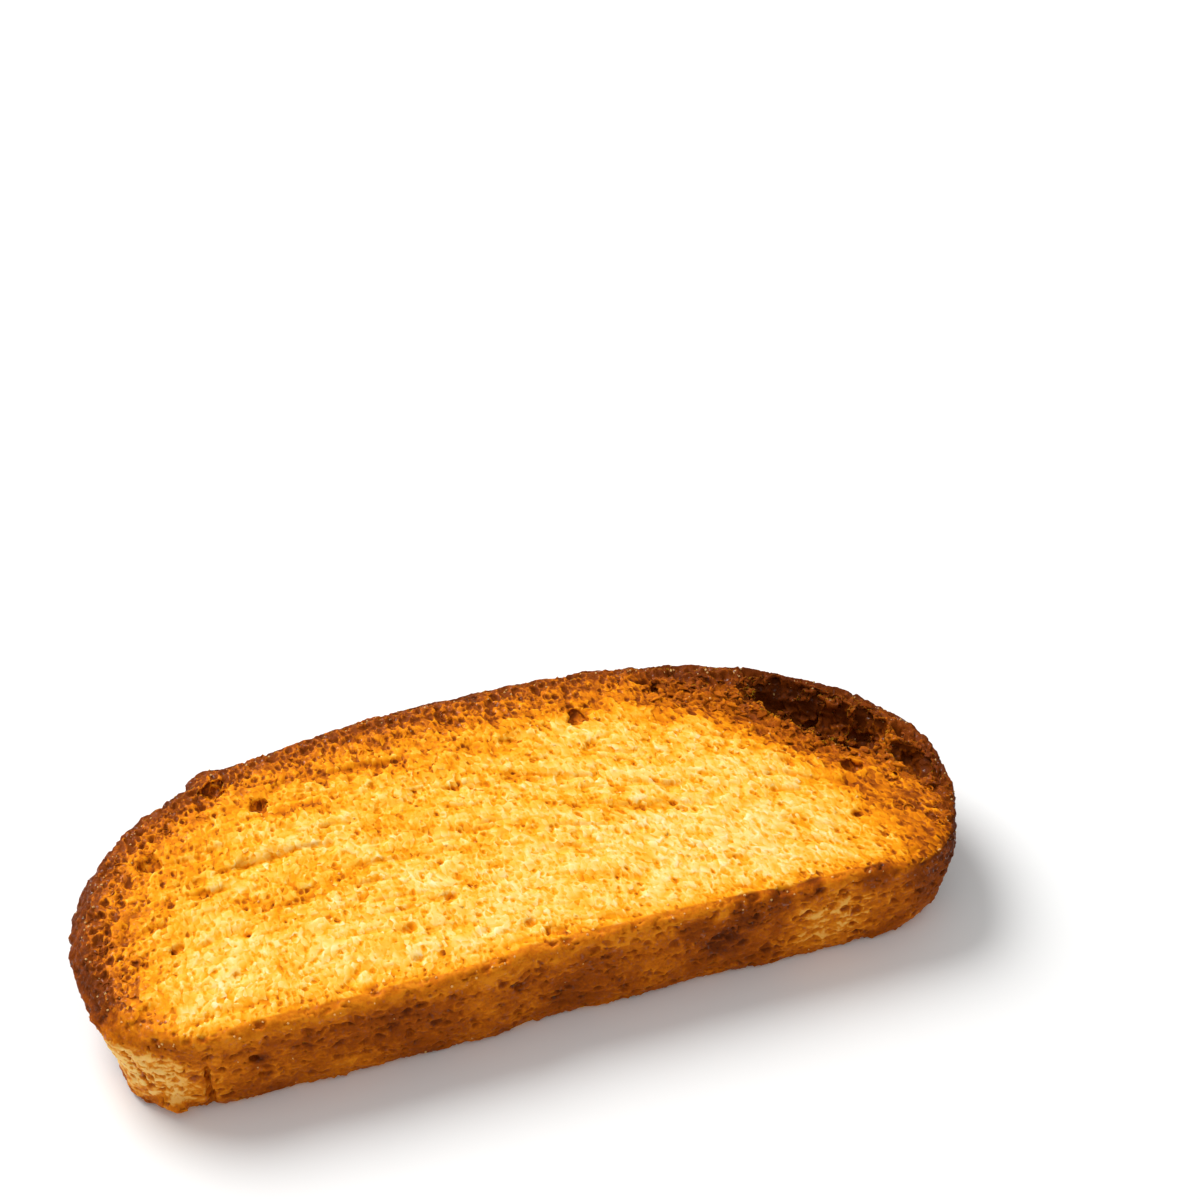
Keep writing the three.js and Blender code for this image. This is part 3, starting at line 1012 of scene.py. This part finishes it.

# %% [markdown]
# ## Baking and painted shade of the crumb
#
# The broad browning goes up near the crust, in the torn place and inside the pores; inside the pores and deep
# in the trough it is partly painted shade. The fine browning goes up inside bubbles and tears and down on
# their walls and on raised flakes. It is partly the crumb's own browning and partly painted light and shade:
# painted shade in pits, tears and on the low ends of leaning flakes, painted light on thin bubble walls and
# raised edges. Both stop short of black, as in a light toast.

# %% Baking and painted shade of the crumb
CRUMB_STOPS = [
    (0.0, tone(251, 222, 164)),
    (0.15, tone(250, 206, 120)),
    (0.3, tone(247, 183, 64)),
    (0.45, tone(242, 156, 16)),
    (0.6, tone(220, 124, 7)),
    (0.75, tone(166, 82, 7)),
    (0.88, tone(106, 44, 5)),
    (1.0, tone(54, 18, 2)),
]

# partly painted shade: inside the pores the crumb is painted darker than its own browning
broad_bake_and_shade = (
    0.28
    + zone["toast"]
    + zone["rim"] * 0.42
    + zone["scorch"] * 0.5
    + zone["baked"]
    + zone["sunk"] * 0.28 * (1 - zone["scorch"])
    + crumb["streak"] * 0.14 * (1 - zone["calm"]) * (1 - zone["open"])
    + crumb["patch"] * 0.25
)
# painted shade in pits, tears and on the low ends of leaning flakes; painted light on bubble walls and raised
# flakes
fine_bake_and_shade = (
    crumb["large"] * 0.1
    + crumb["medium"] * 0.24
    + crumb["small"] * 0.22
    + crumb["tiny"] * 0.1
    + crumb["tear"] * 0.1
    - crumb["walls"] * (0.04 + 0.16 * zone["open"])
    - crumb["plate"] * 0.16
    - crumb["chip"] * 0.17
)
contrast = (1 - 0.5 * zone["open"]) * (1 - 0.45 * zone["torn"])
most_bake = 0.67 + zone["torn"] * 0.1 + zone["rim"] * 0.2
# partly painted shade: the deep torn trough is painted darker still
crumb_bake_and_shade = (
    paint.math("MINIMUM", broad_bake_and_shade, most_bake)
    + fine_bake_and_shade * contrast
    + zone["sunk"] * zone["torn"] * 0.09
)
crumb_bake_and_shade = paint.math("MINIMUM", crumb_bake_and_shade, 0.84 + 0.03 * zone["torn"])
crumb_colour = paint.node("ShaderNodeValToRGB", {"stops": CRUMB_STOPS}, {"Fac": crumb_bake_and_shade})
print("crumb:", len(paint_tree.nodes), "nodes so far")

# %% [markdown]
# ## Baking of the crust
#
# The wall of crust is brown, darkest on the crown, with burnt and pale places. A band along the front wall's
# upper edge is lighter. Pits and blister cells are darker, and fibres and blister rims paler; this shows most
# in the pale places, where the crumb comes through.

# %% Baking of the crust
CRUST_STOPS = [
    (0.0, tone(250, 202, 118)),
    (0.09, tone(240, 176, 80)),
    (0.2, tone(224, 132, 20)),
    (0.3, tone(204, 110, 10)),
    (0.5, tone(160, 76, 6)),
    (0.78, tone(106, 44, 5)),
    (1.0, tone(54, 18, 2)),
]

burnt = zone["burnt"] * (0.3 + 0.7 * crumb["wiggle"].fade(-0.25, 0.1))
pale = zone["pale"] * (1 + crumb["wiggle"])
band = zone["band"] + crumb["wiggle"] * 0.5
# darker in the pits and blister cells, paler on the fibres and blister rims
crust_detail = (
    crust["pit"] * 0.22
    + crust["cell"] * 0.22
    - crust["fibre"] * 0.1
    - (crust["fibre"] - 0.4) * pale * 0.2
    - crust["ring"] * 0.1
    + (speckle - 0.5) * 0.3
)
crust_bake = (
    0.54
    - pale * 0.47
    + burnt
    + zone["crown"] * 0.36
    - band.fade(0, 1) * (1 - burnt) * 0.36
    + crumb["patch"] * (0.8 - 0.5 * pale)
)
crust_bake = paint.math("MAXIMUM", crust_bake, 0.3 - 0.15 * pale)
crust_bake = crust_bake + crust_detail * (1 + 0.6 * (pale + burnt))
crust_bake = paint.math("MAXIMUM", crust_bake, 0.2 - 0.2 * pale)
crust_bake = paint.math("MINIMUM", crust_bake, 0.88)
crust_colour = paint.node("ShaderNodeValToRGB", {"stops": CRUST_STOPS}, {"Fac": crust_bake})
print("crust:", len(paint_tree.nodes), "nodes so far")

# %% [markdown]
# ## Colour, shine and depth
#
# Crumb and crust are mixed by where the crust lies, and loose crumbs are painted pale, as painted glints of
# light. Toasted sugar makes browned places a little smoother, with small glossy specks. Light goes a short way
# into the bread, which softens its pits; the thin flakes and crumbs are painted without that.

# %% Colour, shine and depth
# painted glints: the pale colour of the loose crumbs stands in for small glints of light
GLINT_PAINT_COLOUR = tone(252, 206, 130)
GLINT_PAINT_SHARE = 0.6


def mixed(factor, first, second):
    """A blend of two colours."""
    inputs = {"Factor": factor, 6: first, 7: second}
    return paint.node("ShaderNodeMix", {"data_type": "RGBA"}, inputs, 2)


on_crust = paint.math("MAXIMUM", zone["wall"], (band + burnt * 0.4).fade(0.34, 0.72))
colour = mixed(on_crust, crumb_colour, crust_colour)
# painted glints: loose crumbs are mixed towards a pale colour that stands in for glints of light
finish("Base Color", mixed(zone["speck"] * GLINT_PAINT_SHARE, colour, GLINT_PAINT_COLOUR))
fine = noise(rest, 4.5, 2) * 0.05 - crumb["small"] * 0.08
finish("Normal", paint.node("ShaderNodeBump", {}, {"Strength": 0.6, "Distance": MM, "Height": fine}))
finish("Roughness", 0.7 - 0.4 * zone["toast"] + crumb["wiggle"] * 0.3)
browned = zone["toast"] + zone["wall"] * 0.5 + zone["burnt"]
finish("Coat Weight", speckle.fade(0.58, 0.68) * browned)
shader.inputs["Coat Roughness"].default_value = 0.2
shader.inputs["Specular IOR Level"].default_value = 0.04
shader.inputs["Subsurface Weight"].default_value = 0.4
shader.inputs["Subsurface Radius"].default_value = (0.7, 0.55, 0.42)
shader.inputs["Subsurface Scale"].default_value = 0.8 * MM
thin_paint = toast_paint.copy()
thin_paint.name = "thin_crumb"
thin_paint.node_tree.nodes["Principled BSDF"].inputs["Subsurface Weight"].default_value = 0
for piece in (bread, flakes, curls, crumbs):
    piece.data.materials.clear()
    piece.data.materials.append(toast_paint if piece == bread else thin_paint)
print("finish:", len(paint_tree.nodes), "nodes")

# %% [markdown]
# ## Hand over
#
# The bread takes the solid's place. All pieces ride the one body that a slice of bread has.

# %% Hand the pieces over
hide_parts("rusk")
for piece in (bread, flakes, curls, crumbs):
    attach(piece, "root")
